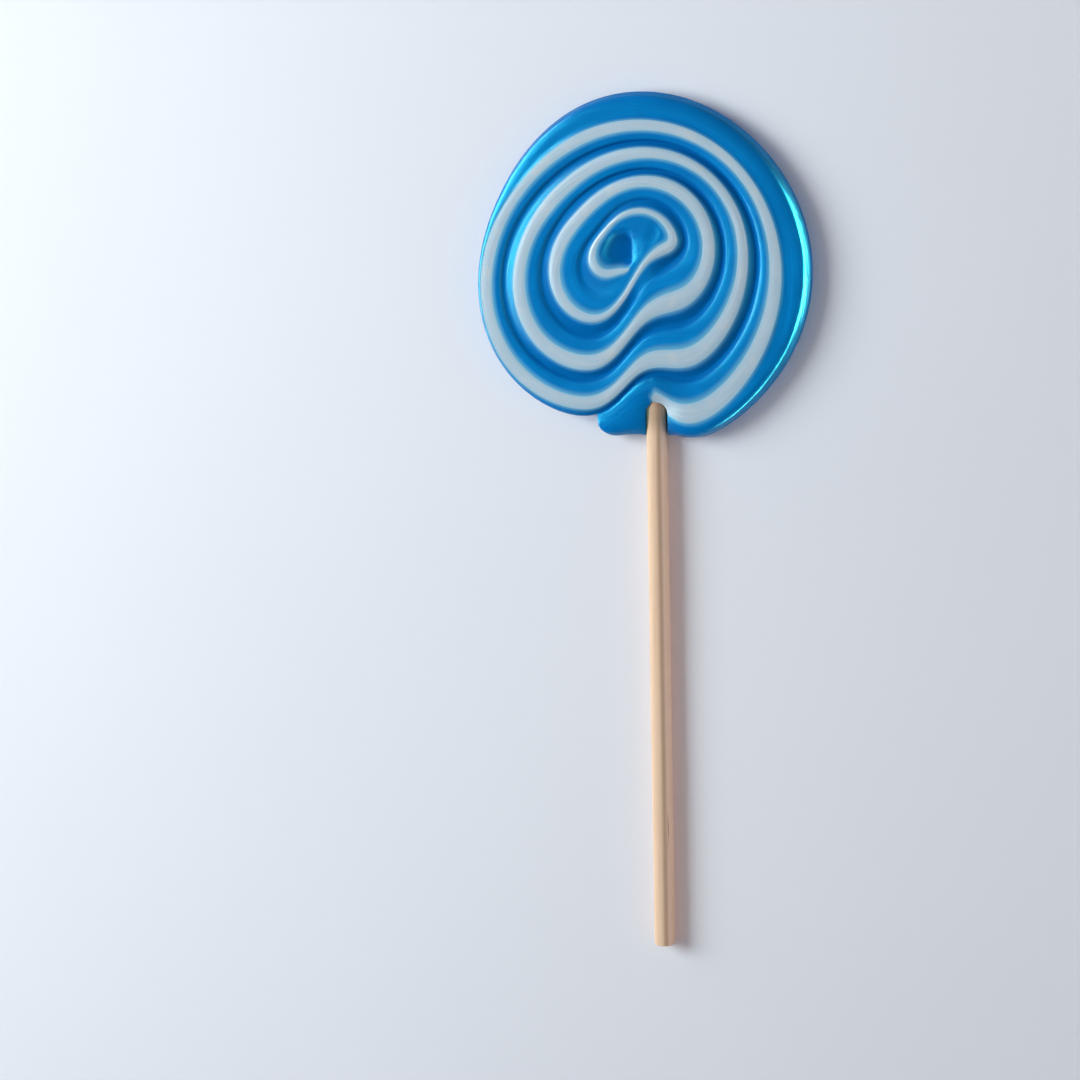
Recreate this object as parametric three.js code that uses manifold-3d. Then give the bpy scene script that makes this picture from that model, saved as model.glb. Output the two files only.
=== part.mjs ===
// Swirl lollipop: a blue and white rope of boiled sugar wound into a flat disc on a wooden stick.
// Millimetres. The stick runs along Y with the head at +Y, and the shown face looks up (+Z).
import * as THREE from 'three';
import { mergeVertices } from 'three/addons/utils/BufferGeometryUtils.js';
import Module from 'manifold-3d';

// Head
const headThickness = 8.4;
const frontGroove = 2.0;
const backGroove = 0.7;

// Swirl line: an opening spiral that drifts, leans and is pushed up where the stick goes in
const centreX = -8.54, centreY = 4.3;
const driftX = -0.27, driftY = -1.93;
const firstRadius = 3.318, turnPitch = 10.96, pitchLoss = 0.126;
const squash = 0.043, squashLoss = 0.008;
const lean = 0.22, leanLoss = 0.046;
const pushHeight = 10.35, pushLoss = 0.32;
const pushX = 0.95, pushDrift = -1.0;
const pushLeft = 10.0, pushRight = 11.84;
const pushLevel = 2.345, pushFade = 14.0;

// Along the rope, in turns
const stepsPerTurn = 96;
const ropeStart = -66 / stepsPerTurn;
const ropeEnd = 4 + 27 / stepsPerTurn;
const outerStart = ropeEnd - 1;
const whiteStart = 23 / stepsPerTurn;
const whiteEnd = 4 + 21 / stepsPerTurn;
const ropeRound = 7 / stepsPerTurn;
const denseFrom = 16, denseTo = 32;

// Across the rope, in parts of a turn
const creaseReach = 0.385;
const thinWhite = 0.085, fullWhite = 0.185, bendWhite = 0.06;
const whiteGap = 0.035;
const whiteTail = 0.28, whiteHook = 0.18;
const tailRoom = 0.22, tailTurn = 0.22;

// Rim of the last turn, measured out from the white line
const rimReach = 0.748;
const rimRight = 0.353, rimTop = 0.346;
const rimOval = -0.062, rimSkew = 0.184;
const rimFill = 0.22, rimRoundness = 2.6;

// Hollow in the middle of the swirl
const hollowX = -12.5, hollowY = 5.0;
const hollowWide = 4.6, hollowHigh = 4.4;
const hollowDepth = 1.3;

// Stick
const stickRadius = 3.0;
const stickX = -0.7, stickZ = 3.9;
const stickBottom = -200;
const stickMouth = -39.3;
const stickTop = -33.6;
const stickChamfer = 0.5;
const stickPlay = 0.3;

// Opening on the face where the stick comes out: it leans from the stick to mouthX at the face
const mouthX = 0.6;
const mouthDip = 1.2, mouthWide = 5;

const smooth = (from, to, value) => THREE.MathUtils.smoothstep(value, from, to);
const mix = THREE.MathUtils.lerp;
const bump = (value, middle, width) => Math.exp(-(((value - middle) / width) ** 2));

// A place on the face: turn sets the direction, reach sets how many pitches out it lies
function swirlPlace(turn, reach) {
  const angle = -2 * Math.PI * turn;
  const flat = (squash - squashLoss * reach) * Math.cos(2 * angle);
  const tilt = (lean - leanLoss * reach) * Math.sin(2 * angle);
  const plain = Math.max(0, firstRadius + turnPitch * reach - pitchLoss * reach * reach);
  const radius = plain * (1 + flat + tilt);
  const x = radius * Math.cos(angle) + centreX + driftX * reach;
  const y = radius * Math.sin(angle) + centreY + driftY * reach;
  const middle = pushX + pushDrift * reach;
  const side = bump(x, middle, x < middle ? pushLeft : pushRight);
  const below = 1 / (1 + Math.exp((4 * (y - pushLevel)) / pushFade));
  return [x, y + (pushHeight - pushLoss * reach) * side * below];
}

const poleReach = ropeStart + creaseReach;
const crease = (turn) => turn + creaseReach + tailRoom * bump(turn, tailTurn, 0.1);
const whiteMiddle = (turn) =>
  turn + whiteTail * bump(turn, tailTurn, 0.07) - whiteHook * bump(turn, whiteEnd, 0.018);
const whiteHalf = (turn) =>
  mix(thinWhite, fullWhite, smooth(1.25, 1.6, turn)) + bendWhite * bump(turn, 1.02, 0.07);
const grooveShare = (turn) => smooth(0.1, 0.5, turn);

function rimOffset(turn) {
  const angle = -2 * Math.PI * turn;
  return rimReach + rimRight * Math.cos(angle) + rimTop * Math.sin(angle)
    + rimOval * Math.cos(2 * angle) + rimSkew * Math.sin(2 * angle)
    + rimFill * bump(turn, whiteEnd + 0.013, 0.02);
}

// How far the rope reaches at a turn: inner crease, outer edge, and how much of it is free rim
function ropeSpan(turn) {
  const inner = turn < ropeStart + 1 ? poleReach : crease(turn - 1);
  const free = smooth(outerStart, outerStart + 0.06, turn);
  const open = turn > outerStart ? mix(crease(turn), turn + rimOffset(turn), free) : crease(turn);
  const late = Math.max(0, 1 - (ropeEnd - turn) / ropeRound);
  const ending = turn >= ropeEnd ? 0 : Math.sqrt(1 - late * late);
  return { inner, outer: inner + (open - inner) * ending, free, ending };
}

// White wall edges, kept inside the rope where it starts and ends
function whiteEdges(turn, room) {
  const { inner, outer } = ropeSpan(turn);
  const width = outer - inner;
  const half = whiteHalf(turn) + room;
  let low = whiteMiddle(turn) - half, high = whiteMiddle(turn) + half;
  if (turn < whiteStart) {
    low = Math.max(low, inner + 0.45 * width);
    high = Math.max(high, inner + 0.7 * width);
  }
  if (turn > whiteEnd) {
    low = Math.min(low, inner + 0.45 * width);
    high = Math.min(high, inner + 0.8 * width);
  }
  return [low, high];
}

// Height lost on the shown face at the hollow and beside the stick
function faceDip(x, y) {
  const hollow = hollowDepth * bump(x, hollowX, hollowWide) * bump(y, hollowY, hollowHigh);
  const mouth = mouthDip * bump(x, mouthX, mouthWide) * smooth(-stickMouth - 3, -stickMouth + 2, -y);
  return hollow + mouth;
}

const rimHeight = (share) => (headThickness / 2) * (1 + (1 - share ** rimRoundness) ** (1 / rimRoundness));

// One cross-section of the blue rope, as rows of points for its front, back and rim
function blueSection(turn) {
  const { inner, outer, free, ending } = ropeSpan(turn);
  const [low, high] = whiteEdges(turn, whiteGap);
  const innerGroove = turn < ropeStart + 1 ? 0 : grooveShare(turn - 1);
  const outerGroove = grooveShare(turn);
  const creaseFront = headThickness - frontGroove * grooveShare(Math.min(turn, outerStart));
  const creaseBack = backGroove * grooveShare(Math.min(turn, outerStart));
  const place = (reach, height) => {
    const [x, y] = swirlPlace(turn, reach);
    const dip = faceDip(x, y) * THREE.MathUtils.clamp((height - creaseBack) / (headThickness - 2), 0, 1);
    return [x, y, height - dip];
  };
  const settle = (height, edge) => mix(edge, height, ending);
  const front = (reach, drop) => place(reach, settle(headThickness - drop, creaseFront));
  const back = (reach, lift) => place(reach, settle(lift, creaseBack));
  const rim = (share, height, edge) =>
    place(high + (outer - high) * mix(1, share, free), settle(mix(edge, height, free), edge));

  const faces = {};
  const shoulder = headThickness - rimHeight(0.55);
  faces.front = [
    front(inner, frontGroove * innerGroove),
    front(mix(inner, low, 0.13), 0.8 * innerGroove),
    front(mix(inner, low, 0.5), 0.25 * innerGroove),
    front(low, 0.05 * innerGroove),
    front(high, 0.1 * outerGroove),
    front(mix(high, outer, 0.55), mix(0.8 * outerGroove, shoulder, free)),
    rim(0.85, rimHeight(0.85), creaseFront),
  ];
  faces.back = [
    back(inner, backGroove * innerGroove),
    back(mix(inner, low, 0.3), 0),
    back(low, 0),
    back(high, 0),
    back(mix(high, outer, 0.5), 0),
    rim(0.84, 0.55, creaseBack),
  ];
  faces.rim = [
    faces.front[6],
    rim(0.97, rimHeight(0.97), mix(creaseFront, creaseBack, 0.25)),
    rim(1, headThickness / 2, mix(creaseFront, creaseBack, 0.5)),
    rim(0.965, 1.7, mix(creaseFront, creaseBack, 0.75)),
    faces.back[5],
  ];
  return faces;
}

// One cross-section of the white wall
function whiteSection(turn) {
  const [low, high] = whiteEdges(turn, 0);
  const place = (reach, height) => {
    const [x, y] = swirlPlace(turn, reach);
    return [x, y, height > 1 ? height - faceDip(x, y) : height];
  };
  const groove = grooveShare(turn);
  return [
    place(low, 0),
    place(low, headThickness - 0.05 * groove),
    place((low + high) / 2, headThickness + 0.05),
    place(high, headThickness - 0.1 * groove),
    place(high, 0),
  ];
}

// Turns at which the rope is cut into sections: closer together where the stick pushed it
function ropeTurns(from, to) {
  const turns = [];
  const last = Math.round(to * stepsPerTurn);
  for (let step = Math.round(from * stepsPerTurn); step <= last; step += 1) {
    const inTurn = THREE.MathUtils.euclideanModulo(step, stepsPerTurn);
    const dense = inTurn >= denseFrom && inTurn <= denseTo;
    if (dense || step % 2 === 0 || step === last) turns.push(step / stepsPerTurn);
  }
  return turns;
}

// Gathers triangles and drops those that shrink to a line
class Skin {
  constructor() { this.corners = []; }

  triangle(a, b, c) {
    const same = (p, q) => Math.hypot(p[0] - q[0], p[1] - q[1], p[2] - q[2]) < 1e-4;
    if (same(a, b) || same(b, c) || same(c, a)) return;
    this.corners.push(...a, ...b, ...c);
  }

  quad(a, b, c, d) {
    this.triangle(a, b, c);
    this.triangle(a, c, d);
  }

  geometry() {
    const shape = new THREE.BufferGeometry();
    shape.setAttribute('position', new THREE.Float32BufferAttribute(this.corners, 3));
    return mergeVertices(shape, 1e-4);
  }
}

function blueRope() {
  const skin = new Skin();
  const turns = ropeTurns(ropeStart, ropeEnd);
  const sections = turns.map(blueSection);
  for (let i = 0; i + 1 < turns.length; i += 1) {
    const here = sections[i], next = sections[i + 1];
    const split = turns[i] >= whiteStart && turns[i + 1] <= whiteEnd;
    for (let j = 0; j < 6; j += 1) {
      if (split && j === 3) continue;
      skin.quad(here.front[j], next.front[j], next.front[j + 1], here.front[j + 1]);
    }
    for (let j = 0; j < 5; j += 1) {
      if (split && j === 2) continue;
      skin.quad(here.back[j], here.back[j + 1], next.back[j + 1], next.back[j]);
    }
    if (split) {
      skin.quad(here.front[3], next.front[3], next.back[2], here.back[2]);
      skin.quad(here.front[4], here.back[3], next.back[3], next.front[4]);
    }
    if (turns[i] >= outerStart) {
      for (let j = 0; j < 4; j += 1) skin.quad(here.rim[j], next.rim[j], next.rim[j + 1], here.rim[j + 1]);
    }
  }
  const first = sections[turns.indexOf(whiteStart)];
  const last = sections[turns.indexOf(whiteEnd)];
  skin.quad(first.front[3], first.back[2], first.back[3], first.front[4]);
  skin.quad(last.front[3], last.front[4], last.back[3], last.back[2]);
  return skin.geometry();
}

function whiteWall() {
  const skin = new Skin();
  const turns = ropeTurns(whiteStart, whiteEnd);
  turns[0] += 0.009;
  turns[turns.length - 1] -= 0.0013;
  const sections = turns.map(whiteSection);
  for (let i = 0; i + 1 < sections.length; i += 1) {
    const here = sections[i], next = sections[i + 1];
    here.forEach((corner, j) => {
      const k = (j + 1) % here.length;
      skin.quad(corner, next[j], next[k], here[k]);
    });
  }
  const cap = (ring, turned) => {
    for (let j = 1; j + 1 < ring.length; j += 1) {
      if (turned) skin.triangle(ring[0], ring[j + 1], ring[j]);
      else skin.triangle(ring[0], ring[j], ring[j + 1]);
    }
  };
  cap(sections[0], false);
  cap(sections[sections.length - 1], true);
  return skin.geometry();
}

// Welds a shape's loose triangles into one skin
function weld(shape) {
  const skin = new Skin();
  const corners = (shape.index ? shape.toNonIndexed() : shape).attributes.position;
  const corner = (i) => [corners.getX(i), corners.getY(i), corners.getZ(i)];
  for (let i = 0; i < corners.count; i += 3) skin.triangle(corner(i), corner(i + 1), corner(i + 2));
  return skin.geometry();
}

// Round bar along Y with chamfered ends
function roundBar(radius, from, to, chamfer) {
  const outline = [
    new THREE.Vector2(0, from),
    new THREE.Vector2(radius - chamfer, from),
    new THREE.Vector2(radius, from + chamfer),
    new THREE.Vector2(radius, to - chamfer),
    new THREE.Vector2(radius - chamfer, to),
    new THREE.Vector2(0, to),
  ];
  const bar = new THREE.LatheGeometry(outline, 32);
  bar.translate(stickX, 0, stickZ);
  return weld(bar);
}

// Opening on the shown side where the stick lies bare, rounded at its top
function mouthPrism() {
  const half = stickRadius + stickPlay;
  const below = -70, above = 20;
  const outline = new THREE.Shape();
  outline.moveTo(stickX - half, below);
  outline.lineTo(stickX + half, below);
  outline.lineTo(stickX + half, stickMouth - half);
  outline.absarc(stickX, stickMouth - half, half, 0, Math.PI, false);
  outline.lineTo(stickX - half, below);
  const deep = { depth: above, bevelEnabled: false, curveSegments: 12 };
  const prism = new THREE.ExtrudeGeometry(outline, deep);
  const leanOut = (mouthX - stickX) / (headThickness - stickZ);
  prism.applyMatrix4(new THREE.Matrix4().makeShear(0, 0, 0, 0, leanOut, 0));
  prism.translate(0, 0, stickZ);
  return weld(prism);
}

const wasm = await Module();
wasm.setup();

function toSolid(shape) {
  return new wasm.Manifold(new wasm.Mesh({
    numProp: 3,
    vertProperties: new Float32Array(shape.attributes.position.array),
    triVerts: new Uint32Array(shape.index.array),
  }));
}

function toGeometry(solid) {
  const cut = solid.getMesh();
  const shape = new THREE.BufferGeometry();
  shape.setAttribute('position', new THREE.BufferAttribute(new Float32Array(cut.vertProperties), 3));
  shape.setIndex(new THREE.BufferAttribute(new Uint32Array(cut.triVerts), 1));
  const flat = shape.toNonIndexed();
  flat.computeVertexNormals();
  return flat;
}

const socketBar = roundBar(stickRadius + stickPlay, -70, stickTop + stickPlay, 0.4);
const socket = toSolid(socketBar).add(toSolid(mouthPrism()));
const blueSolid = toSolid(blueRope()).subtract(socket);
const whiteSolid = toSolid(whiteWall()).subtract(socket);

const group = new THREE.Group();
group.name = 'swirl_lollipop';

function addPiece(name, shape, look) {
  const piece = new THREE.Mesh(shape, new THREE.MeshStandardMaterial(look));
  piece.name = name;
  group.add(piece);
}

addPiece('blue_candy', toGeometry(blueSolid), { color: 0x0b74c0, roughness: 0.18, metalness: 0 });
addPiece('white_candy', toGeometry(whiteSolid), { color: 0xd3dade, roughness: 0.28, metalness: 0 });
const stickShape = roundBar(stickRadius, stickBottom, stickTop, stickChamfer).toNonIndexed();
stickShape.computeVertexNormals();
addPiece('stick', stickShape, { color: 0xd9b795, roughness: 0.62, metalness: 0 });

// Stand the lot on Z = 0 with the middle of its footprint at the origin
const box = new THREE.Box3().setFromObject(group);
const shift = new THREE.Vector3(-(box.min.x + box.max.x) / 2, -(box.min.y + box.max.y) / 2, -box.min.z);
for (const piece of group.children) piece.geometry.translate(shift.x, shift.y, shift.z);

export default group;
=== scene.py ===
# Swirl lollipop: blue and white boiled sugar wound into a disc on a wooden stick, lying on a pale floor.
import math
import bpy
import numpy as np
from mathutils import Matrix, Vector, kdtree, noise


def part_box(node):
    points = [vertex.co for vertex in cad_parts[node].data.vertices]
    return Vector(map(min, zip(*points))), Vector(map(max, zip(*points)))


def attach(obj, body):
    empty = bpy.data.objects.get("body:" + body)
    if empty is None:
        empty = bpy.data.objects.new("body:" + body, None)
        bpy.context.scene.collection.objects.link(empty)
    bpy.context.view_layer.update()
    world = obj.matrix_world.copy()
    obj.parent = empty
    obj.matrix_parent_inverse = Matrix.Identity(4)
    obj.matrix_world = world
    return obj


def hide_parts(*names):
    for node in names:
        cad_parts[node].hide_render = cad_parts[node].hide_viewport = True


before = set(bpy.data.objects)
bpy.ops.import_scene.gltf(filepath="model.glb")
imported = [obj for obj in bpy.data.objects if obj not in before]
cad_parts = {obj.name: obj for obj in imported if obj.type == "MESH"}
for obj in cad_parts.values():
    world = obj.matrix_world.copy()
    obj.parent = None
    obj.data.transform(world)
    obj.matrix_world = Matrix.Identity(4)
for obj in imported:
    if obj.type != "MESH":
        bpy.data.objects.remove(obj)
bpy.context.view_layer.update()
print("frame loaded")

mm = 0.001
stepsPerTurn = 288  # sections cut for each turn of the rope

# the swirl's own millimetres have the first turn near 0, 0 and the stick's foot at y = -200
stickLow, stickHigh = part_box("stick")
stick = {
    "x": -0.7,
    "z": (stickLow.z + stickHigh.z) / 2 / mm,
    "radius": (stickHigh.x - stickLow.x) / 2 / mm,
    "foot": -200.0,
    "top": -200.0 + (stickHigh.y - stickLow.y) / mm,
    "mouth": -39.3,  # where it comes out of the sugar on the shown side
    "mouthX": 0.6,  # the opening leans over to here at the face
    "play": 0.28,
    "round": 0.55,
    "wobble": 0.035,
}
shiftX = (stickLow.x + stickHigh.x) / 2 / mm - stick["x"]
shiftY = stickLow.y / mm - stick["foot"]

swirl = {
    "centre": (-8.54, 4.3),
    "drift": (-0.27, -1.93),  # per turn
    "firstRadius": 3.318,
    "pitch": 10.96,
    "pitchLoss": 0.126,
    "squash": (0.043, -0.008),
    "lean": (0.22, -0.046),
    "push": (10.35, -0.32),  # how far the stick pushed the turns up
    "pushX": (0.95, -1.0),
    "pushWidth": (10.0, 11.84),
    "pushLevel": 2.345,
    "pushFade": 14.0,
    "start": -66 / 96,
    "end": 4 + 27 / 96,
    "whiteStart": 21 / 96,
    "whiteEnd": 4 + 21 / 96,
    "startTaper": 0.032,  # turns over which the white's ends taper
    "endTaper": 0.006,
    "crease": 0.385,
    "thinWhite": 0.085,
    "fullWhite": 0.185,
    "rim": (0.748, 0.353, 0.346, -0.062, 0.184),  # past the white's middle: all round, right, top, oval, skew
    "rimInset": 0.012,
    "freeing": 0.06,  # turns over which the last turn's edge comes free
    "rounding": 7 / 96,  # turns over which the rope's outer end is rounded
}
swirl["outerStart"] = swirl["end"] - 1
poleReach = swirl["start"] + swirl["crease"]

# where the creases and the white leave the plain spiral: by so many pitches, at this turn, over so many turns
bulges = {
    "crease": [
        (0.25, 0.21, 0.1),
        (-0.14, 0.6, 0.15),
        (-0.09, 1.0, 0.1),
        (0.09, 1.64, 0.1),
        (0.15, 2.5, 0.2),
        (-0.08, 3.22, 0.06),
    ],
    "whiteMiddle": [
        (0.3, 0.2, 0.09),
        (0.2, 0.21, 0.04),
        (-0.07, 1.19, 0.07),
        (0.06, 2.375, 0.09),
        (0.08, 3.375, 0.09),
        (-0.06, 3.62, 0.1),
        (-0.18, swirl["whiteEnd"], 0.018),
    ],
    "whiteHalf": [
        (0.065, 1.04, 0.08),
        (-0.02, 2.0, 0.12),
        (-0.04, 2.95, 0.12),
        (-0.05, 3.62, 0.1),
    ],
}

head = {
    "thickness": 8.4,
    "frontGroove": 1.7,
    "backGroove": 0.7,
    "whiteCrown": 0.08,
    "whiteRise": 0.045,  # most that the white stands above the face
    "whiteFall": 0.16,  # share of the groove's depth that the white itself rounds down
    "rimPower": 2.6,
    "facet": (0.8, 0.985),  # flatter part of the rim, as shares of the way out
    "facetFoot": 5.35,
    "facetSwell": 0.06,
    "valley": 0.45,  # dip between the outer white and the rim
    "lump": 0.09,  # slow unevenness of the pressed sugar
    "lumpScale": 0.06,
    "mouthDip": 1.9,
    "mouthWidth": 4.6,
}

# the rope's inner end stands over a hollow inside the first loop, with a sharp lip on its left
hollow = {
    "middle": (-6.3, 6.6),
    "lean": 38.0,
    "halfLength": 11.6,
    "halfWidth": (5.9, 6.6),  # below and above its middle line
    "depth": 2.5,
    "lip": -5.9,
    "bend": (6.0, 0.05),  # from this height upwards the lip bends to the right
    "wall": (1.0, 2.2),  # width of the lip's wall, and how much wider it gets at its top
}


def smooth(low, high, value):
    share = np.clip((value - low) / (high - low), 0, 1)
    return share * share * (3 - 2 * share)


def mix(a, b, share):
    return a + (b - a) * share


def bump(value, middle, width):
    return np.exp(-(((value - middle) / width) ** 2))


def swirlPlace(turn, reach):
    # turn sets the direction, reach sets how many pitches out the place lies
    angle = -2 * math.pi * turn
    reach = np.where(reach < poleReach + 0.02, poleReach, reach)  # the innermost places meet in one point
    flat = (swirl["squash"][0] + swirl["squash"][1] * reach) * np.cos(2 * angle)
    tilt = (swirl["lean"][0] + swirl["lean"][1] * reach) * np.sin(2 * angle)
    plain = swirl["firstRadius"] + swirl["pitch"] * reach - swirl["pitchLoss"] * reach * reach
    radius = np.maximum(plain, 0) * (1 + flat + tilt)
    x = radius * np.cos(angle) + swirl["centre"][0] + swirl["drift"][0] * reach
    y = radius * np.sin(angle) + swirl["centre"][1] + swirl["drift"][1] * reach
    middle = swirl["pushX"][0] + swirl["pushX"][1] * reach
    side = bump(x, middle, np.where(x < middle, *swirl["pushWidth"]))
    below = 1 / (1 + np.exp(4 * (y - swirl["pushLevel"]) / swirl["pushFade"]))
    return x, y + (swirl["push"][0] + swirl["push"][1] * reach) * side * below


def bulge(line, turn):
    return sum(pitches * bump(turn, middle, width) for pitches, middle, width in bulges[line])


def crease(turn):
    return turn + swirl["crease"] + bulge("crease", turn)


def whiteMiddle(turn):
    return turn + bulge("whiteMiddle", turn)


def whiteHalf(turn):
    # widens after the first turn, is wider at the top than at the foot and waves a little
    wide = mix(swirl["thinWhite"], swirl["fullWhite"], smooth(1.25, 1.6, turn)) + bulge("whiteHalf", turn)
    wide = wide + 0.012 * np.sin(-2 * math.pi * turn) * smooth(1.4, 1.7, turn)
    wide = wide + 0.006 * np.sin(turn * 17.0) + 0.004 * np.sin(turn * 41.0 + 1.0)
    startTaper = np.clip((turn - swirl["whiteStart"]) / swirl["startTaper"], 0.02, 1) ** 0.5
    endTaper = np.clip((swirl["whiteEnd"] - turn) / swirl["endTaper"], 0.02, 1) ** 0.5
    return wide * startTaper * endTaper


def grooveShare(turn):
    # shallower on the left than on the right, none at the very middle, and next to none where the white
    # runs down from its first bend
    side = 0.78 + 0.22 * np.cos(-2 * math.pi * turn + math.radians(10.3))
    side = side * (1 - 0.4 * bump(turn, 0.76, 0.12))
    return side * smooth(0.26, 0.5, turn) * (1 - 0.85 * bump(turn, 1.185, 0.045))


def rimOffset(turn):
    angle = -2 * math.pi * turn
    plain, right, top, oval, skew = swirl["rim"]
    offset = plain + right * np.cos(angle) + top * np.sin(angle)
    offset = offset + oval * np.cos(2 * angle) + skew * np.sin(2 * angle)
    return offset + 0.22 * bump(turn, swirl["whiteEnd"] + 0.013, 0.02) - swirl["rimInset"]


def freeShare(turn):
    return smooth(swirl["outerStart"], swirl["outerStart"] + swirl["freeing"], turn)


def ropeSpan(turn):
    inner = np.where(turn < swirl["start"] + 1, poleReach, crease(turn - 1))
    free = freeShare(turn)
    rimReach = mix(crease(turn), turn + rimOffset(turn), free)
    opened = np.where(turn > swirl["outerStart"], rimReach, crease(turn))
    late = np.clip(1 - (swirl["end"] - turn) / swirl["rounding"], 0, 1)
    ending = np.sqrt(1 - late * late)
    return inner, inner + (opened - inner) * ending, free, ending


def whiteEdges(turn):
    inner, outer = ropeSpan(turn)[:2]
    half = whiteHalf(turn)
    low, high = whiteMiddle(turn) - half, whiteMiddle(turn) + half
    early, late = turn < swirl["whiteStart"], turn > swirl["whiteEnd"]
    width = outer - inner
    low = np.where(early, np.maximum(low, inner + 0.45 * width), low)
    high = np.where(early, np.maximum(high, inner + 0.7 * width), high)
    low = np.where(late, np.minimum(low, inner + 0.34 * width), low)
    high = np.where(late, np.minimum(high, inner + 0.37 * width), high)
    return low, high


def lipPlace(y):
    height, bend = hollow["bend"]
    return hollow["lip"] + bend * np.maximum(y - height, 0) ** 2


def hollowDip(x, y):
    lean = math.radians(hollow["lean"])
    right, up = x - hollow["middle"][0], y - hollow["middle"][1]
    along = right * math.cos(lean) + up * math.sin(lean)
    across = -right * math.sin(lean) + up * math.cos(lean)
    halfWidth = np.where(across < 0, *hollow["halfWidth"])
    inside = 1 - smooth(0.6, 1.0, np.sqrt((along / hollow["halfLength"]) ** 2 + (across / halfWidth) ** 2))
    lip = lipPlace(y)
    wall = hollow["wall"][0] + hollow["wall"][1] * smooth(6.0, 9.5, y)
    left = 0.13 * np.clip((lip + 1.5 - x) / 1.5, 0, 1) ** 1.3 + 0.87 * smooth(0.0, wall, lip - x)
    left = left * (1 - smooth(6.5, 11.0, y))
    slope = mix(1.0, 0.45, smooth(0.5, 8.0, lip - x))
    lobe = 0.3 * smooth(3.0, 7.5, x - lip)
    lobe = lobe + 0.25 * (1 - smooth(0.2, 4.0, x - lip)) * smooth(-3, 0, y) * (1 - smooth(4, 9.5, y))
    return hollow["depth"] * inside * left * slope + lobe * inside


def mouthDip(x, y):
    return head["mouthDip"] * bump(x, stick["mouthX"], head["mouthWidth"]) * smooth(35.5, 41.5, -y)


def dipShade(points):
    # painted shade: darker the further the hollow and the stick's mouth dip
    x, y = points[..., 0], points[..., 1]
    return 0.85 * smooth(0.25, 1.5, hollowDip(x, y)) + smooth(0.1, 1.3, mouthDip(x, y))


def middleGloss(points, gloss):
    # dull in the hollow and glossy along its lip
    x, y = points[..., 0], points[..., 1]
    gloss = gloss * (1 - 0.85 * smooth(0.35, 1.2, hollowDip(x, y)))
    gloss = gloss * (1 - 0.85 * bump(x - lipPlace(y), 0.3, 1.3) * bump(y, 9.2, 1.8))
    onLip = bump(x - lipPlace(y), 0.6, 0.8) * smooth(-1.0, 2.5, y) * (1 - smooth(5.5, 8.5, y))
    return gloss + blueGloss["middleLip"] * onLip


def unevenness(x, y):
    scale = head["lumpScale"]
    slow = [noise.noise(Vector((a * scale, b * scale, 3.7))) for a, b in zip(x.ravel(), y.ravel())]
    return head["lump"] * (np.array(slow).reshape(x.shape) - 0.5)


def frontHeight(x, y, drop):
    return head["thickness"] - drop - hollowDip(x, y) - mouthDip(x, y) + unevenness(x, y)


# steps across the rope, from the inner crease to the white and on to the outer crease or the rim
innerSteps = np.array([
    0, 0.02, 0.04, 0.06, 0.08, 0.1, 0.13, 0.16, 0.2, 0.25, 0.3, 0.36,
    0.42, 0.48, 0.54, 0.6, 0.66, 0.72, 0.78, 0.84, 0.9, 0.96, 1,
])
outerSteps = np.array([0, 0.06, 0.12, 0.19, 0.27, 0.36, 0.48, 0.62, 0.78, 0.9, 1])
rimTurns = np.radians([0, 1, 3, 6, 11, 18, 27, 36, 44, 49, 57])  # front of the rim, as outerSteps
sideTurns = np.radians([57, 64, 71, 78, 82, 86, 92, 100, 108, 116, 124])
backInner = np.array([0, 0.08, 0.18, 0.32, 0.6, 1])
backOuter = np.array([0, 0.35, 0.62, 0.82, 1])
whiteSteps = np.array([0, 0.04, 0.12, 0.25, 0.4, 0.6, 0.75, 0.88, 0.96, 1])


def rimCurve(turns):
    # share of the way out and height, round the edge from the face to the back
    power, half = 2 / head["rimPower"], head["thickness"] / 2
    out = np.abs(np.sin(turns)) ** power
    height = half * (1 + np.sign(np.cos(turns)) * np.abs(np.cos(turns)) ** power)
    start, end = head["facet"]
    tops = [half * (1 + (1 - share ** head["rimPower"]) ** (1 / head["rimPower"])) for share in (start, end)]
    along = (out - start) / (end - start)
    facet = mix(tops[0], head["facetFoot"], along) + head["facetSwell"] * np.sin(math.pi * along)
    below = half + (height - half) * (head["facetFoot"] - half) / (tops[1] - half)
    pressed = np.where(along < 1, facet, below)
    return out, np.where((np.cos(turns) > 0) & (along > 0), pressed, height)


def innerDrop(share, groove, turn):
    # a round lip stands over the crease, then the rope rises slowly to the white
    lip = bump(share, 0, 0.15 + 0.11 * bump(turn, 4.0, 0.1))
    return head["frontGroove"] * groove * (0.6 * lip + 0.4 * (1 - share) ** 2.2 + 0.015 * share)


def outerDrop(share, groove):
    # the rope rounds down just outside the white, so a dark trench runs beside it
    fall = 3 * share ** 2 - 2 * share ** 3 + 0.45 * (share ** 3 - 2 * share ** 2 + share)
    return head["frontGroove"] * groove * mix(head["whiteFall"], 1, fall)


def ropeTurns(start, end):
    return np.arange(round(start * stepsPerTurn), round(end * stepsPerTurn) + 1) / stepsPerTurn


noteKeys = ("ropeNote", "glossNote", "bleedNote")
noNote = (0, 0, 0, 0, 0)
weld = {"perMm": 1000, "offset": 0.137}  # points weld on this grid, set off so that round values stay clear


def writeNotes(mesh, notes):
    notes = np.asarray(notes, np.float32)
    rope = mesh.attributes.new("ropeNote", "FLOAT_VECTOR", "POINT")
    rope.data.foreach_set("vector", notes[:, :3].ravel())
    for key, column in (("glossNote", 3), ("bleedNote", 4)):
        layer = mesh.attributes.new(key, "FLOAT", "POINT")
        layer.data.foreach_set("value", notes[:, column].ravel())


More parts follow.
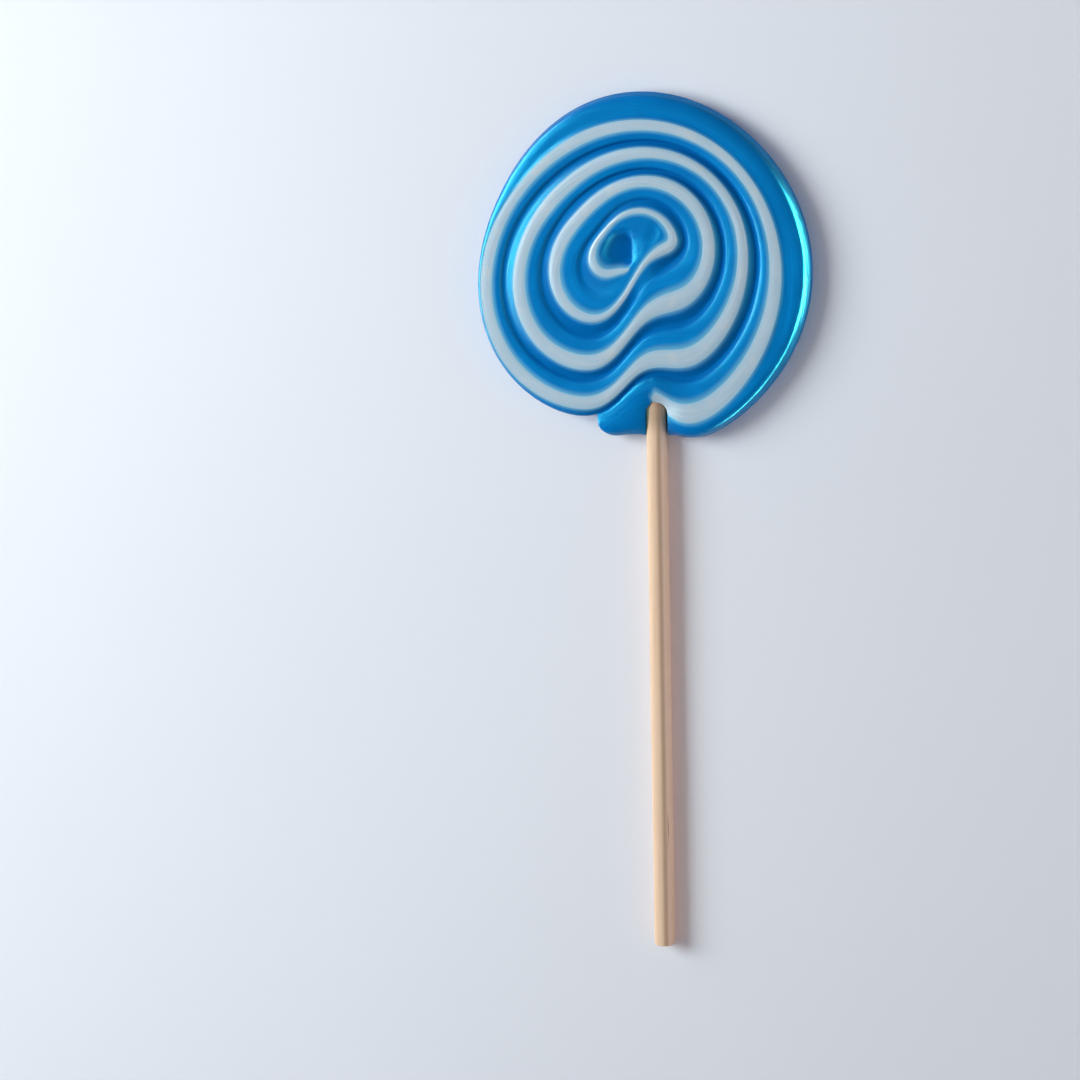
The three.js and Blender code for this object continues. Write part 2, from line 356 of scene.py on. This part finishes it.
def makeMesh(name, points, faces, notes):
    mesh = bpy.data.meshes.new(name)
    mesh.from_pydata([tuple(p) for p in points], [], faces)
    writeNotes(mesh, notes)
    mesh.validate()
    piece = bpy.data.objects.new(name, mesh)
    bpy.context.scene.collection.objects.link(piece)
    return piece


class Skin:
    # points and faces of one piece, with points that meet welded into one; a note is the place along and
    # across the rope, the painted shade of the groove, the gloss and how far the other colour bleeds in
    def __init__(self):
        self.points, self.notes, self.faces, self.known = [], [], [], {}

    def corner(self, point, note):
        key = tuple(round(weld["perMm"] * value + weld["offset"]) for value in point)
        if key not in self.known:
            self.known[key] = len(self.points)
            self.points.append(point)
            self.notes.append(note)
        return self.known[key]

    def sheet(self, points, notes):
        return [[self.corner(p, n) for p, n in zip(row, noteRow)] for row, noteRow in zip(points, notes)]

    def face(self, *corners):
        ring = [c for i, c in enumerate(corners) if c != corners[i - 1]]
        if len(set(ring)) == len(ring) and len(ring) > 2:
            self.faces.append(ring)

    def strip(self, here, there, under=False):
        # faces between two rows of corners, seen from above or from under
        for j in range(len(here) - 1):
            if under:
                self.face(here[j], here[j + 1], there[j + 1], there[j])
            else:
                self.face(here[j], there[j], there[j + 1], here[j + 1])

    def build(self, name):
        scaled = [((p[0] + shiftX) * mm, (p[1] + shiftY) * mm, p[2] * mm) for p in self.points]
        return makeMesh(name, scaled, self.faces, self.notes)


def alongRope(turn):
    # rough length of rope from its inner end, in millimetres
    wound = turn - swirl["start"]
    return 2 * math.pi * swirl["pitch"] * wound * wound / 2


def stack(*values):
    return np.stack(np.broadcast_arrays(*values), -1)


# gloss beside the outer band, which has 1
blueGloss = {"trench": 0.06, "lip": 0.65, "middleLip": 0.42, "leftWall": 0.9, "endLip": 0.6}
blueBleed = {"inward": 1.6, "outward": 1.0}  # millimetres that the white shines through into the blue


def blueSheets(turn):
    inner, outer, free, ending = ropeSpan(turn)
    low, high = whiteEdges(turn)
    early = turn < swirl["start"] + 1
    innerGroove = np.where(early, 0, grooveShare(turn - 1))
    outerGroove = grooveShare(turn)
    meet = grooveShare(np.where(turn > swirl["end"] - 0.5, turn - 1, np.minimum(turn, swirl["outerStart"])))
    creaseFront = head["thickness"] - head["frontGroove"] * meet
    creaseBack = head["backGroove"] * meet

    def settle(height, edge):
        return mix(edge, height, ending)

    def top(reach, height):
        x, y = swirlPlace(turn, reach)
        height, x, y = np.broadcast_arrays(height, x, y)
        lower = head["thickness"] - frontHeight(x, y, 0)
        share = np.clip((height - 1.5) / (head["thickness"] - 3.5), 0, 1)
        return stack(x, y, height - lower * share)

    def side(turns, edge):
        out, height = rimCurve(turns[None, :])
        reach = high + (outer - high) * mix(1, out, free)
        return top(reach, settle(mix(edge, height, free), edge))

    face = head["thickness"]
    inStep, outStep = innerSteps[None, :], outerSteps[None, :]
    reachIn = mix(inner, low, inStep)
    frontIn = top(reachIn, settle(face - innerDrop(inStep, innerGroove, turn), creaseFront))
    rimOut, rimHeight = rimCurve(rimTurns[None, :])
    wide = smooth(3.5, 7.5, (outer - high) * swirl["pitch"])
    valley = head["valley"] * wide * (1 - smooth(-0.03, 0.0, turn - swirl["whiteEnd"]))
    rimHeight = rimHeight - valley * smooth(0, 0.16, rimOut) * (1 - smooth(0.2, 0.8, rimOut))
    plain = face - outerDrop(outStep, outerGroove)
    reachOut = mix(high, outer, mix(outStep, rimOut, free))
    frontOut = top(reachOut, settle(mix(plain, rimHeight - 0.05 * (1 - outStep), free), creaseFront))
    fall = np.linspace(0, 1, len(sideTurns))[None, :]
    rim = side(sideTurns, mix(creaseFront, creaseBack, fall))
    underIn, underOut = backInner[None, :], backOuter[None, :]
    backReachIn = mix(inner, low, underIn)
    liftIn = head["backGroove"] * innerGroove * np.maximum(1 - underIn / 0.3, 0) ** 2
    liftOut = creaseBack * np.maximum((underOut - 0.3) / 0.7, 0) ** 2
    liftOut = mix(liftOut, rim[:, -1:, 2] * underOut ** 4, free)
    backIn = stack(*swirlPlace(turn, backReachIn), settle(liftIn, creaseBack))
    lastReach = high + (outer - high) * mix(1, rimCurve(sideTurns[-1:])[0], free)
    backReachOut = mix(high, lastReach, underOut)
    backOut = stack(*swirlPlace(turn, backReachOut), settle(liftOut, creaseBack))
    frontOut[:, -1] = rim[:, 0]
    backOut[:, -1] = rim[:, -1]

    pitch = swirl["pitch"]
    along = alongRope(turn)
    past = np.maximum(alongRope(swirl["whiteStart"]) - along, along - alongRope(swirl["whiteEnd"]))
    past = 2 * np.maximum(past, 0)

    def noteFor(reach, border, width, shade, gloss):
        distance = np.hypot(pitch * (reach - border), past)
        return stack(along, pitch * reach, shade, gloss, 1 - smooth(-0.3, width, distance))

    trench, lip = blueGloss["trench"], blueGloss["lip"]
    inward, outward = blueBleed["inward"], blueBleed["outward"]
    # painted shade: darker in the trench beside each white, in the hollow and the stick's mouth, over the
    # stick's top, on the upper right that faces away from the light and along the top edge
    shadeIn = innerGroove * bump(inStep, 0, 0.22) + dipShade(frontIn) + 0.8 * bump(turn, 4.205, 0.03)
    shadeOut = outerGroove * smooth(0, 0.6, outStep) * (1 - free) + dipShade(frontOut)
    topEdgeShade = free * bump(turn, 3.78, 0.15) * smooth(0.8, 0.96, rimOut)
    shadeOut = shadeOut + 0.9 * free * bump(turn, 3.86, 0.08) * smooth(0.1, 0.5, outStep) + topEdgeShade
    glossIn = mix(lip, trench + (lip - trench) * smooth(0.18, 0.32, inStep), np.minimum(innerGroove * 2, 1))
    glossIn = middleGloss(frontIn, glossIn)
    glossIn = glossIn + blueGloss["endLip"] * bump(turn, 4.235, 0.035) * bump(inStep, 0.25, 0.1)
    leftWall = blueGloss["leftWall"] * bump(turn, 2.53, 0.13) * (1 - smooth(0.45, 0.8, outStep))
    glossOut = middleGloss(frontOut, mix(lip, trench, np.minimum(outerGroove * 2, 1)) + leftWall)
    glossOut = mix(glossOut, 1, free) * (1 - 0.8 * topEdgeShade)
    # painted shade on the rim as it turns under, and along the top edge
    rimShade = np.maximum(0.6 * free * smooth(0, 0.5, fall), topEdgeShade[:, -1:])
    rimGloss = mix(trench, mix(1, 0.15, smooth(0, 0.5, fall)), free) * (1 - 0.8 * topEdgeShade[:, -1:])
    notes = {
        "frontIn": noteFor(reachIn, low, inward, shadeIn, glossIn),
        "frontOut": noteFor(reachOut, high, outward, shadeOut, glossOut),
        "rim": noteFor(outer, high - 1, outward, rimShade, rimGloss),
        "backIn": noteFor(backReachIn, low, inward, innerGroove * (1 - underIn) ** 4, lip),
        "backOut": noteFor(backReachOut, high, outward, outerGroove * underOut ** 4 * (1 - free), lip),
    }
    return {"frontIn": frontIn, "frontOut": frontOut, "rim": rim, "backIn": backIn, "backOut": backOut}, notes


def blueCandy():
    turns = ropeTurns(swirl["start"], swirl["end"])
    sheets, notes = blueSheets(turns[:, None])
    skin = Skin()
    rows = {}
    for key, sheet in sheets.items():
        sheetNotes = np.broadcast_to(notes[key], sheet.shape[:2] + (len(noNote),))
        rows[key] = skin.sheet(sheet.tolist(), sheetNotes.tolist())
    frontIn, frontOut, rim, backIn, backOut = (rows[key] for key in sheets)
    firstSlot = int(np.argmin(abs(turns - swirl["whiteStart"])))
    lastSlot = int(np.argmin(abs(turns - swirl["whiteEnd"])))
    outerRow = int(np.argmin(abs(turns - swirl["outerStart"])))
    for i in range(len(turns) - 1):
        skin.strip(frontIn[i], frontIn[i + 1])
        skin.strip(frontOut[i], frontOut[i + 1])
        skin.strip(backIn[i], backIn[i + 1], under=True)
        skin.strip(backOut[i], backOut[i + 1], under=True)
        if i >= outerRow:
            skin.strip(rim[i], rim[i + 1])
        # walls of the slot for the white, and faces across it past the white's ends
        if firstSlot <= i < lastSlot:
            skin.face(frontIn[i][-1], frontIn[i + 1][-1], backIn[i + 1][-1], backIn[i][-1])
            skin.face(frontOut[i][0], backOut[i][0], backOut[i + 1][0], frontOut[i + 1][0])
        else:
            skin.face(frontIn[i][-1], frontIn[i + 1][-1], frontOut[i + 1][0], frontOut[i][0])
            skin.face(backIn[i][-1], backOut[i][0], backOut[i + 1][0], backIn[i + 1][-1])
    i = firstSlot
    skin.face(frontIn[i][-1], backIn[i][-1], backOut[i][0], frontOut[i][0])
    i = lastSlot
    skin.face(frontIn[i][-1], frontOut[i][0], backOut[i][0], backIn[i][-1])
    return skin.build("blueSugar")


whiteBleed = 1.1  # millimetres that the blue shines through into the white


def whiteCandy():
    turns = ropeTurns(swirl["whiteStart"], swirl["whiteEnd"])[:, None]
    low, high = whiteEdges(turns)
    step = whiteSteps[None, :]
    groove = grooveShare(turns)
    ends = smooth(0, 0.03, turns - swirl["whiteStart"]) * smooth(0, 0.008, swirl["whiteEnd"] - turns)
    innerEdge = innerDrop(1.0, np.where(turns < swirl["start"] + 1, 0, grooveShare(turns - 1)), turns)
    outerEdge = mix(outerDrop(0.0, groove), 0.05, freeShare(turns))
    fromMiddle = 2 * step - 1
    crown = head["whiteCrown"] * ends * (1 - fromMiddle ** 2)
    x, y = swirlPlace(turns, mix(low, high, step))
    z = frontHeight(x, y, mix(innerEdge, outerEdge, np.maximum(fromMiddle, 0) ** 2) - crown)
    top = stack(x, y, np.minimum(z, head["thickness"] + head["whiteRise"]))
    bottom = stack(*swirlPlace(turns, mix(low, high, np.array([[0, 0.5, 1]]))), 0.0)
    pitch = swirl["pitch"]
    distance = pitch * (high - low) / 2 * (1 - np.abs(fromMiddle))
    bleed = 1 - smooth(-0.3, whiteBleed, distance)
    noteTop = stack(alongRope(turns), pitch * mix(low, high, step), 0, 1, bleed)
    skin = Skin()
    up = skin.sheet(top.tolist(), noteTop.tolist())
    middle = len(whiteSteps) // 2 - 1
    down = skin.sheet(bottom.tolist(), noteTop[:, [0, middle, -1]].tolist())
    for i in range(len(up) - 1):
        skin.strip(up[i], up[i + 1])
        skin.strip(down[i], down[i + 1], under=True)
        skin.face(up[i][0], down[i][0], down[i + 1][0], up[i + 1][0])
        skin.face(up[i][-1], up[i + 1][-1], down[i + 1][-1], down[i][-1])
    skin.face(*up[0], *down[0][::-1])
    skin.face(*down[-1], *up[-1][::-1])
    return skin.build("whiteSugar")


def cutter(name, outline, depth):
    # prism over an outline in the swirl's own millimetres, from the stick's middle upwards
    skin = Skin()
    lean = (stick["mouthX"] - stick["x"]) / (head["thickness"] - stick["z"]) * depth
    low = [skin.corner((x, y, stick["z"]), noNote) for x, y in outline]
    high = [skin.corner((x + lean, y, stick["z"] + depth), noNote) for x, y in outline]
    skin.faces.append(low[::-1])
    skin.faces.append(high)
    for i in range(len(low)):
        skin.faces.append([low[i - 1], low[i], high[i], high[i - 1]])
    return skin.build(name)


def bar(name, radius, start, end, sides=48):
    skin = Skin()
    angles = [2 * math.pi * k / sides for k in range(sides)]
    circle = [(stick["x"] + radius * math.cos(a), stick["z"] + radius * math.sin(a)) for a in angles]
    rings = [[skin.corner((x, y, z), noNote) for x, z in circle] for y in (start, end)]
    skin.faces.append(rings[0])
    skin.faces.append(rings[1][::-1])
    for i in range(sides):
        skin.faces.append([rings[0][i], rings[0][i - 1], rings[1][i - 1], rings[1][i]])
    return skin.build(name)


def cutFor(piece, tools):
    # cuts the stick's seat, then gives the new points the notes of the nearest old ones
    old = piece.data
    tree = kdtree.KDTree(len(old.vertices))
    for v in old.vertices:
        tree.insert(v.co, v.index)
    tree.balance()
    layers = [old.attributes[key].data for key in noteKeys]
    notes = [(*rope.vector, gloss.value, bleed.value) for rope, gloss, bleed in zip(*layers)]
    for tool in tools:
        modifier = piece.modifiers.new("seat", "BOOLEAN")
        modifier.operation, modifier.solver, modifier.object = "DIFFERENCE", "EXACT", tool
    bpy.context.view_layer.update()
    ready = bpy.data.meshes.new_from_object(piece.evaluated_get(bpy.context.evaluated_depsgraph_get()))
    piece.modifiers.clear()
    piece.data = ready
    for key in noteKeys:
        if key in ready.attributes:
            ready.attributes.remove(ready.attributes[key])
    writeNotes(ready, [notes[tree.find(v.co)[1]] for v in ready.vertices])


def softShade(piece, angle):
    piece.data.polygons.foreach_set("use_smooth", [True] * len(piece.data.polygons))
    piece.data.set_sharp_from_angle(angle=math.radians(angle))


def dowel():
    skin = Skin()
    sides, radius, edge = 64, stick["radius"], stick["round"]
    rounding = edge / radius
    ends = [  # share of the radius, and distance in from the stick's end
        (0.0, 0.0),
        (0.35, 0.0),
        (0.7, 0.0),
        (1 - rounding, 0.02),
        (1 - 0.3 * rounding, 0.16 * edge),
        (1 - 0.08 * rounding, 0.5 * edge),
        (1.0, edge),
    ]
    line = [(share, stick["foot"] + d) for share, d in ends]
    line += [(1.0, y) for y in np.linspace(stick["foot"] + 2, stick["top"] - 2, 84)]
    line += [(share, stick["top"] - d) for share, d in reversed(ends)]
    rings = []
    for share, y in line:
        ring = []
        for k in range(sides):
            angle = 2 * math.pi * k / sides
            ripple = noise.noise(Vector((math.cos(angle) * 1.7, math.sin(angle) * 1.7, y * 0.03)))
            out = share * radius * (1 - stick["wobble"] * 0.5 * (0.5 - ripple) * share)
            out = min(out, radius)
            place = (stick["x"] + out * math.cos(angle), y, stick["z"] + out * math.sin(angle))
            around = angle if angle < math.pi else angle - 2 * math.pi
            ring.append(skin.corner(place, (y, around, share, 0, 0)))
        rings.append(ring)
    for a, b in zip(rings, rings[1:]):
        for k in range(sides):
            skin.face(a[k], a[k - 1], b[k - 1], b[k])
    return skin.build("dowel")


blue = blueCandy()
white = whiteCandy()
print("sugar rope wound:", len(blue.data.polygons), "and", len(white.data.polygons), "faces")

seat = stick["radius"] + stick["play"]
cut = {"foot": -70.0, "height": 12.0, "spare": 0.3}  # the cutters reach past the sugar and the stick's end
angles = [math.pi * k / 24 for k in range(25)]
arch = [(stick["x"] + seat * math.cos(a), stick["mouth"] - seat + seat * math.sin(a)) for a in angles]
outline = [(stick["x"] - seat, cut["foot"]), (stick["x"] + seat, cut["foot"])] + arch
mouthTool = cutter("mouthTool", outline, cut["height"])
socketTool = bar("socketTool", seat, cut["foot"], stick["top"] + cut["spare"])
for piece in (blue, white):
    cutFor(piece, (mouthTool, socketTool))
for tool in (mouthTool, socketTool):
    bpy.data.objects.remove(tool)
stickPiece = dowel()
softShade(blue, 62)
softShade(white, 55)
softShade(stickPiece, 40)
print("stick seated")


def newMaterial(name):
    material = bpy.data.materials.new(name)
    material.use_nodes = True
    tree = material.node_tree
    return material, tree, tree.nodes["Principled BSDF"]


def addNode(tree, kind, **values):
    node = tree.nodes.new(kind)
    for key, value in values.items():
        if hasattr(node, key):
            setattr(node, key, value)
        else:
            node.inputs[key].default_value = value
    return node


def noiseAt(tree, vector, scale, stretch, detail=4.0, rough=0.55):
    # noise over a vector that is first stretched, so that it can run along the rope
    mapping = addNode(tree, "ShaderNodeMapping")
    mapping.inputs["Scale"].default_value = stretch
    tree.links.new(vector, mapping.inputs["Vector"])
    texture = addNode(tree, "ShaderNodeTexNoise", Scale=scale, Detail=detail, Roughness=rough)
    tree.links.new(mapping.outputs["Vector"], texture.inputs["Vector"])
    return texture.outputs["Fac"]


def ramp(tree, value, stops):
    node = addNode(tree, "ShaderNodeValToRGB")
    bar = node.color_ramp
    while len(bar.elements) < len(stops):
        bar.elements.new(0.5)
    for element, (place, color) in zip(bar.elements, stops):
        element.position = place
        element.color = (*color, 1)
    tree.links.new(value, node.inputs["Fac"])
    return node.outputs["Color"]


def blendColors(tree, share, first, second):
    node = addNode(tree, "ShaderNodeMix", data_type="RGBA")
    for socket, value in ((0, share), (6, first), (7, second)):
        if isinstance(value, bpy.types.NodeSocket):
            tree.links.new(value, node.inputs[socket])
        else:
            node.inputs[socket].default_value = value if isinstance(value, float) else (*value, 1)
    return node.outputs[2]


def addBump(tree, shader, height, strength, distance, under=None):
    node = addNode(tree, "ShaderNodeBump", Strength=strength, Distance=distance)
    tree.links.new(height, node.inputs["Height"])
    if under:
        tree.links.new(under.outputs["Normal"], node.inputs["Normal"])
    tree.links.new(node.outputs["Normal"], shader.inputs["Normal"])
    return node


def ropeCoordinates(tree):
    # millimetres along and across the rope and the painted shade of the groove, then the gloss and the bleed
    note = addNode(tree, "ShaderNodeAttribute", attribute_name="ropeNote")
    parts = addNode(tree, "ShaderNodeSeparateXYZ")
    tree.links.new(note.outputs["Vector"], parts.inputs["Vector"])
    gloss = addNode(tree, "ShaderNodeAttribute", attribute_name="glossNote").outputs["Fac"]
    bleed = addNode(tree, "ShaderNodeAttribute", attribute_name="bleedNote").outputs["Fac"]
    return note.outputs["Vector"], parts.outputs, gloss, bleed


def fade(tree, value, start, end, low=0.0, high=1.0):
    node = addNode(tree, "ShaderNodeMapRange", interpolation_type="SMOOTHSTEP")
    for name, number in (("From Min", start), ("From Max", end), ("To Min", low), ("To Max", high)):
        node.inputs[name].default_value = number
    tree.links.new(value, node.inputs["Value"])
    return node.outputs["Result"]


blueLook = {
    # painted shade, mixed in by the shade note in the grooves, the hollow, the stick's mouth and along the
    # edges
    "deep": (0.0, 0.13, 0.40),
    "body": (0.0, 0.16, 0.49),
    "light": (0.0, 0.235, 0.65),
    "bleed": (0.18, 0.46, 0.66),
    "roughness": (0.5, 0.24),  # dull in the grooves, glossy on the outer band
    "shine": 0.75,
    "shineColor": (0.03, 0.85, 1.0),
    "scatter": 0.12,
    "scatterRadius": (0.2, 0.6, 1.0),
    "scatterScale": 0.0015,
}
sugarBump = {"streaks": (0.25, 0.0004), "fine": (0.12, 0.0002)}  # strength, and depth in metres


def blueMaterial():
    look = blueLook
    material, tree, shader = newMaterial("blueBoiledSugar")
    vector, parts, gloss, bleed = ropeCoordinates(tree)
    streaks = noiseAt(tree, vector, 1.0, (0.045, 1.1, 0.0), 3.0)
    clouds = noiseAt(tree, addNode(tree, "ShaderNodeTexCoord").outputs["Object"], 55.0, (1, 1, 1), 3.0)
    body = ramp(tree, streaks, [(0.3, look["body"]), (0.7, look["light"])])
    body = blendColors(tree, fade(tree, clouds, 0.35, 0.7), body, look["body"])
    # painted shade: the note's third value darkens the sugar where shade falls
    body = blendColors(tree, parts["Z"], body, look["deep"])
    body = blendColors(tree, bleed, body, look["bleed"])
    tree.links.new(body, shader.inputs["Base Color"])
    tree.links.new(fade(tree, gloss, 0.0, 1.0, *look["roughness"]), shader.inputs["Roughness"])
    scaled = addNode(tree, "ShaderNodeMath", operation="MULTIPLY")
    scaled.inputs[1].default_value = look["shine"]
    tree.links.new(gloss, scaled.inputs[0])
    tree.links.new(scaled.outputs[0], shader.inputs["Specular IOR Level"])
    shader.inputs["Specular Tint"].default_value = (*look["shineColor"], 1)
    shader.inputs["Subsurface Weight"].default_value = look["scatter"]
    shader.inputs["Subsurface Radius"].default_value = look["scatterRadius"]
    shader.inputs["Subsurface Scale"].default_value = look["scatterScale"]
    first = addBump(tree, shader, streaks, *sugarBump["streaks"])
    fine = noiseAt(tree, vector, 1.0, (0.5, 2.6, 0.0), 4.0)
    addBump(tree, shader, fine, *sugarBump["fine"], first)
    return material


whiteLook = {
    "body": (0.51, 0.60, 0.68),
    "shade": (0.43, 0.54, 0.63),
    "warm": (0.56, 0.60, 0.64),
    "bleed": (0.33, 0.55, 0.7),
    "roughness": 0.38,
    "coat": 0.15,
    "coatRoughness": 0.2,
    "scatter": 0.25,
    "scatterRadius": (1.0, 1.0, 1.0),
    "scatterScale": 0.001,
}


def whiteMaterial():
    look = whiteLook
    material, tree, shader = newMaterial("whitePulledSugar")
    vector, _, _, bleed = ropeCoordinates(tree)
    streaks = noiseAt(tree, vector, 1.0, (0.06, 1.6, 0.0), 4.0)
    blots = noiseAt(tree, addNode(tree, "ShaderNodeTexCoord").outputs["Object"], 160.0, (1, 1, 1), 3.0)
    body = ramp(tree, streaks, [(0.3, look["shade"]), (0.65, look["body"])])
    body = blendColors(tree, fade(tree, blots, 0.5, 0.75), body, look["warm"])
    body = blendColors(tree, bleed, body, look["bleed"])
    tree.links.new(body, shader.inputs["Base Color"])
    shader.inputs["Roughness"].default_value = look["roughness"]
    shader.inputs["Coat Weight"].default_value = look["coat"]
    shader.inputs["Coat Roughness"].default_value = look["coatRoughness"]
    shader.inputs["Subsurface Weight"].default_value = look["scatter"]
    shader.inputs["Subsurface Radius"].default_value = look["scatterRadius"]
    shader.inputs["Subsurface Scale"].default_value = look["scatterScale"]
    first = addBump(tree, shader, streaks, *sugarBump["streaks"])
    fine = noiseAt(tree, vector, 1.0, (0.5, 3.0, 0.0), 4.0)
    addBump(tree, shader, fine, *sugarBump["fine"], first)
    return material


woodLook = {
    "light": (0.95, 0.61, 0.41),
    "dark": (0.78, 0.44, 0.27),
    "line": (0.5, 0.25, 0.13),
    "paintedCoreShade": (1.5, 1.1, 0.7),  # painted shade: a darker band along the stick where its side turns from the light, as angles round it
    "paintedCoreShadeColor": (0.66, 0.37, 0.22),
    "paintedMouthShade": (0.40, 0.24, 0.14),  # painted shade where the stick lies in the sugar's mouth
    "paintedMouthShadePlace": (-50.0, -43.0),
    "paintedMouthShadeShare": 0.6,
    "roughness": 0.62,
    "specular": 0.08,
}


def woodMaterial():
    look = woodLook
    material, tree, shader = newMaterial("paleWood")
    place = addNode(tree, "ShaderNodeTexCoord").outputs["Object"]
    grain = noiseAt(tree, place, 900.0, (1.0, 0.03, 1.0), 6.0, 0.6)
    broad = noiseAt(tree, place, 260.0, (1.0, 0.02, 1.0), 3.0)
    body = ramp(tree, grain, [(0.3, look["dark"]), (0.62, look["light"])])
    body = blendColors(tree, fade(tree, broad, 0.62, 0.42), body, look["light"])
    body = blendColors(tree, fade(tree, grain, 0.34, 0.27), body, look["line"])
    note = addNode(tree, "ShaderNodeAttribute", attribute_name="ropeNote")
    parts = addNode(tree, "ShaderNodeSeparateXYZ")
    tree.links.new(note.outputs["Vector"], parts.inputs["Vector"])
    # painted shade: a lengthwise band at fixed angles round the stick
    start, middle, end = look["paintedCoreShade"]
    paintedCoreShade = addNode(tree, "ShaderNodeMath", operation="MULTIPLY")
    tree.links.new(fade(tree, parts.outputs["Y"], start, middle), paintedCoreShade.inputs[0])
    tree.links.new(fade(tree, parts.outputs["Y"], end, middle), paintedCoreShade.inputs[1])
    body = blendColors(tree, paintedCoreShade.outputs[0], body, look["paintedCoreShadeColor"])
    # painted shade on the stick inside the sugar's mouth
    mouthShadeMask = fade(tree, parts.outputs["X"], *look["paintedMouthShadePlace"], 0.0, look["paintedMouthShadeShare"])
    body = blendColors(tree, mouthShadeMask, body, look["paintedMouthShade"])
    tree.links.new(body, shader.inputs["Base Color"])
    shader.inputs["Roughness"].default_value = look["roughness"]
    shader.inputs["Coat Weight"].default_value = 0.0
    shader.inputs["Specular IOR Level"].default_value = look["specular"]
    addBump(tree, shader, grain, 0.35, 0.0002)
    return material


blue.data.materials.clear()
blue.data.materials.append(blueMaterial())
white.data.materials.clear()
white.data.materials.append(whiteMaterial())
stickPiece.data.materials.append(woodMaterial())
for piece, node, slot in (
    (blue, "blue_candy", "blue_sugar"),
    (white, "white_candy", "white_sugar"),
    (stickPiece, "stick", "stick_wood"),
):
    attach(piece, "root")
    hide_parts(node)
print("materials on")

floorLook = {"color": (0.93, 0.86, 0.88), "size": 3.0}


def paleFloor():
    half = floorLook["size"] / 2
    mesh = bpy.data.meshes.new("paleFloor")
    corners = [(-half, -half, 0), (half, -half, 0), (half, half, 0), (-half, half, 0)]
    mesh.from_pydata(corners, [], [(0, 1, 2, 3)])
    floor = bpy.data.objects.new("paleFloor", mesh)
    bpy.context.scene.collection.objects.link(floor)
    material, tree, shader = newMaterial("palePaper")
    mottle = noiseAt(tree, addNode(tree, "ShaderNodeTexCoord").outputs["Object"], 6.0, (1, 1, 1))
    tone = floorLook["color"]
    paler = tuple(min(1.0, c * 1.02) for c in tone)
    tree.links.new(ramp(tree, mottle, [(0.3, tone), (0.7, paler)]), shader.inputs["Base Color"])
    shader.inputs["Roughness"].default_value = 0.9
    shader.inputs["Specular IOR Level"].default_value = 0.1
    mesh.materials.append(material)


paleFloor()

headPlace = Vector((shiftX * mm, shiftY * mm, head["thickness"] * mm))
lights = {
    "keyLeft": {"at": (-0.79, 0.17, 0.65), "size": (0.62, 0.72), "power": 11.5, "color": (0.78, 0.95, 1.0)},
    "fillTop": {"at": (-0.2, -0.1, 1.3), "size": (0.9, 0.9), "power": 1.0},
    "stripLeft": {"at": (-0.47, 0.1, 0.16), "size": (0.6, 0.14), "power": 5.0, "shineOnly": True},
    "stripRight": {"at": (0.478, 0.02, 0.15), "size": (0.5, 0.24), "power": 30.0, "shineOnly": True},
    "stripLow": {"at": (0.33, -0.34, 0.14), "size": (0.5, 0.11), "power": 6.0, "shineOnly": True},
}


def softLight(name, at, size, power, color=(1.0, 1.0, 1.0), shineOnly=False):
    lamp = bpy.data.lights.new(name, "AREA")
    lamp.color = color
    lamp.shape, lamp.size, lamp.size_y, lamp.energy = "RECTANGLE", *size, power
    piece = bpy.data.objects.new(name, lamp)
    piece.location = headPlace + Vector(at)
    piece.visible_diffuse = not shineOnly
    piece.rotation_mode = "QUATERNION"
    piece.rotation_quaternion = (headPlace - piece.location).to_track_quat("-Z", "Y")
    bpy.context.scene.collection.objects.link(piece)


for name, values in lights.items():
    softLight(name, **values)

roomLook = {"color": (0.86, 0.9, 1.0), "strength": 0.24}
world = bpy.data.worlds.new("paleRoom")
world.use_nodes = True
world.node_tree.nodes["Background"].inputs["Color"].default_value = (*roomLook["color"], 1)
world.node_tree.nodes["Background"].inputs["Strength"].default_value = roomLook["strength"]
bpy.context.scene.world = world
bpy.context.scene.view_settings.view_transform = "Standard"

view = {
    "distance": 806.0,
    "right": 16.8,  # the camera stands this far to the right of the face's own line, in degrees
    "above": 2.3,
    "roll": 0.9,
    "focal": 2821.0,  # pixels of the 1080 frame
    "aim": (652, 265),  # where the head's middle falls in the frame
    "frame": 1080,
}


def photoCamera():
    right, above = math.radians(view["right"]), math.radians(view["above"])
    back = Vector((math.sin(right) * math.cos(above), math.sin(above), math.cos(right) * math.cos(above)))
    side = Vector((0, 1, 0)).cross(back).normalized()
    rest = Matrix((side, back.cross(side), back))
    half = view["frame"] / 2
    ray = Vector((view["aim"][0] - half, half - view["aim"][1], -view["focal"])).normalized()
    yaw, pitch, roll = math.atan2(ray.x, -ray.z), math.asin(ray.y), math.radians(view["roll"])
    turnYaw = Matrix((
        (math.cos(yaw), 0, -math.sin(yaw)),
        (0, 1, 0),
        (math.sin(yaw), 0, math.cos(yaw)),
    ))
    turnPitch = Matrix((
        (1, 0, 0),
        (0, math.cos(pitch), -math.sin(pitch)),
        (0, math.sin(pitch), math.cos(pitch)),
    ))
    turnRoll = Matrix((
        (math.cos(roll), -math.sin(roll), 0),
        (math.sin(roll), math.cos(roll), 0),
        (0, 0, 1),
    ))
    turned = turnYaw @ turnPitch @ turnRoll @ rest
    data = bpy.data.cameras.new("photoCamera")
    data.sensor_width = 36.0
    data.lens = 36.0 * view["focal"] / view["frame"]
    data.clip_start, data.clip_end = 0.01, 20
    camera = bpy.data.objects.new("photoCamera", data)
    place = headPlace + back * view["distance"] * mm
    camera.matrix_world = Matrix.Translation(place) @ turned.transposed().to_4x4()
    bpy.context.scene.collection.objects.link(camera)
    bpy.context.scene.camera = camera


photoCamera()
print("lights and camera set")
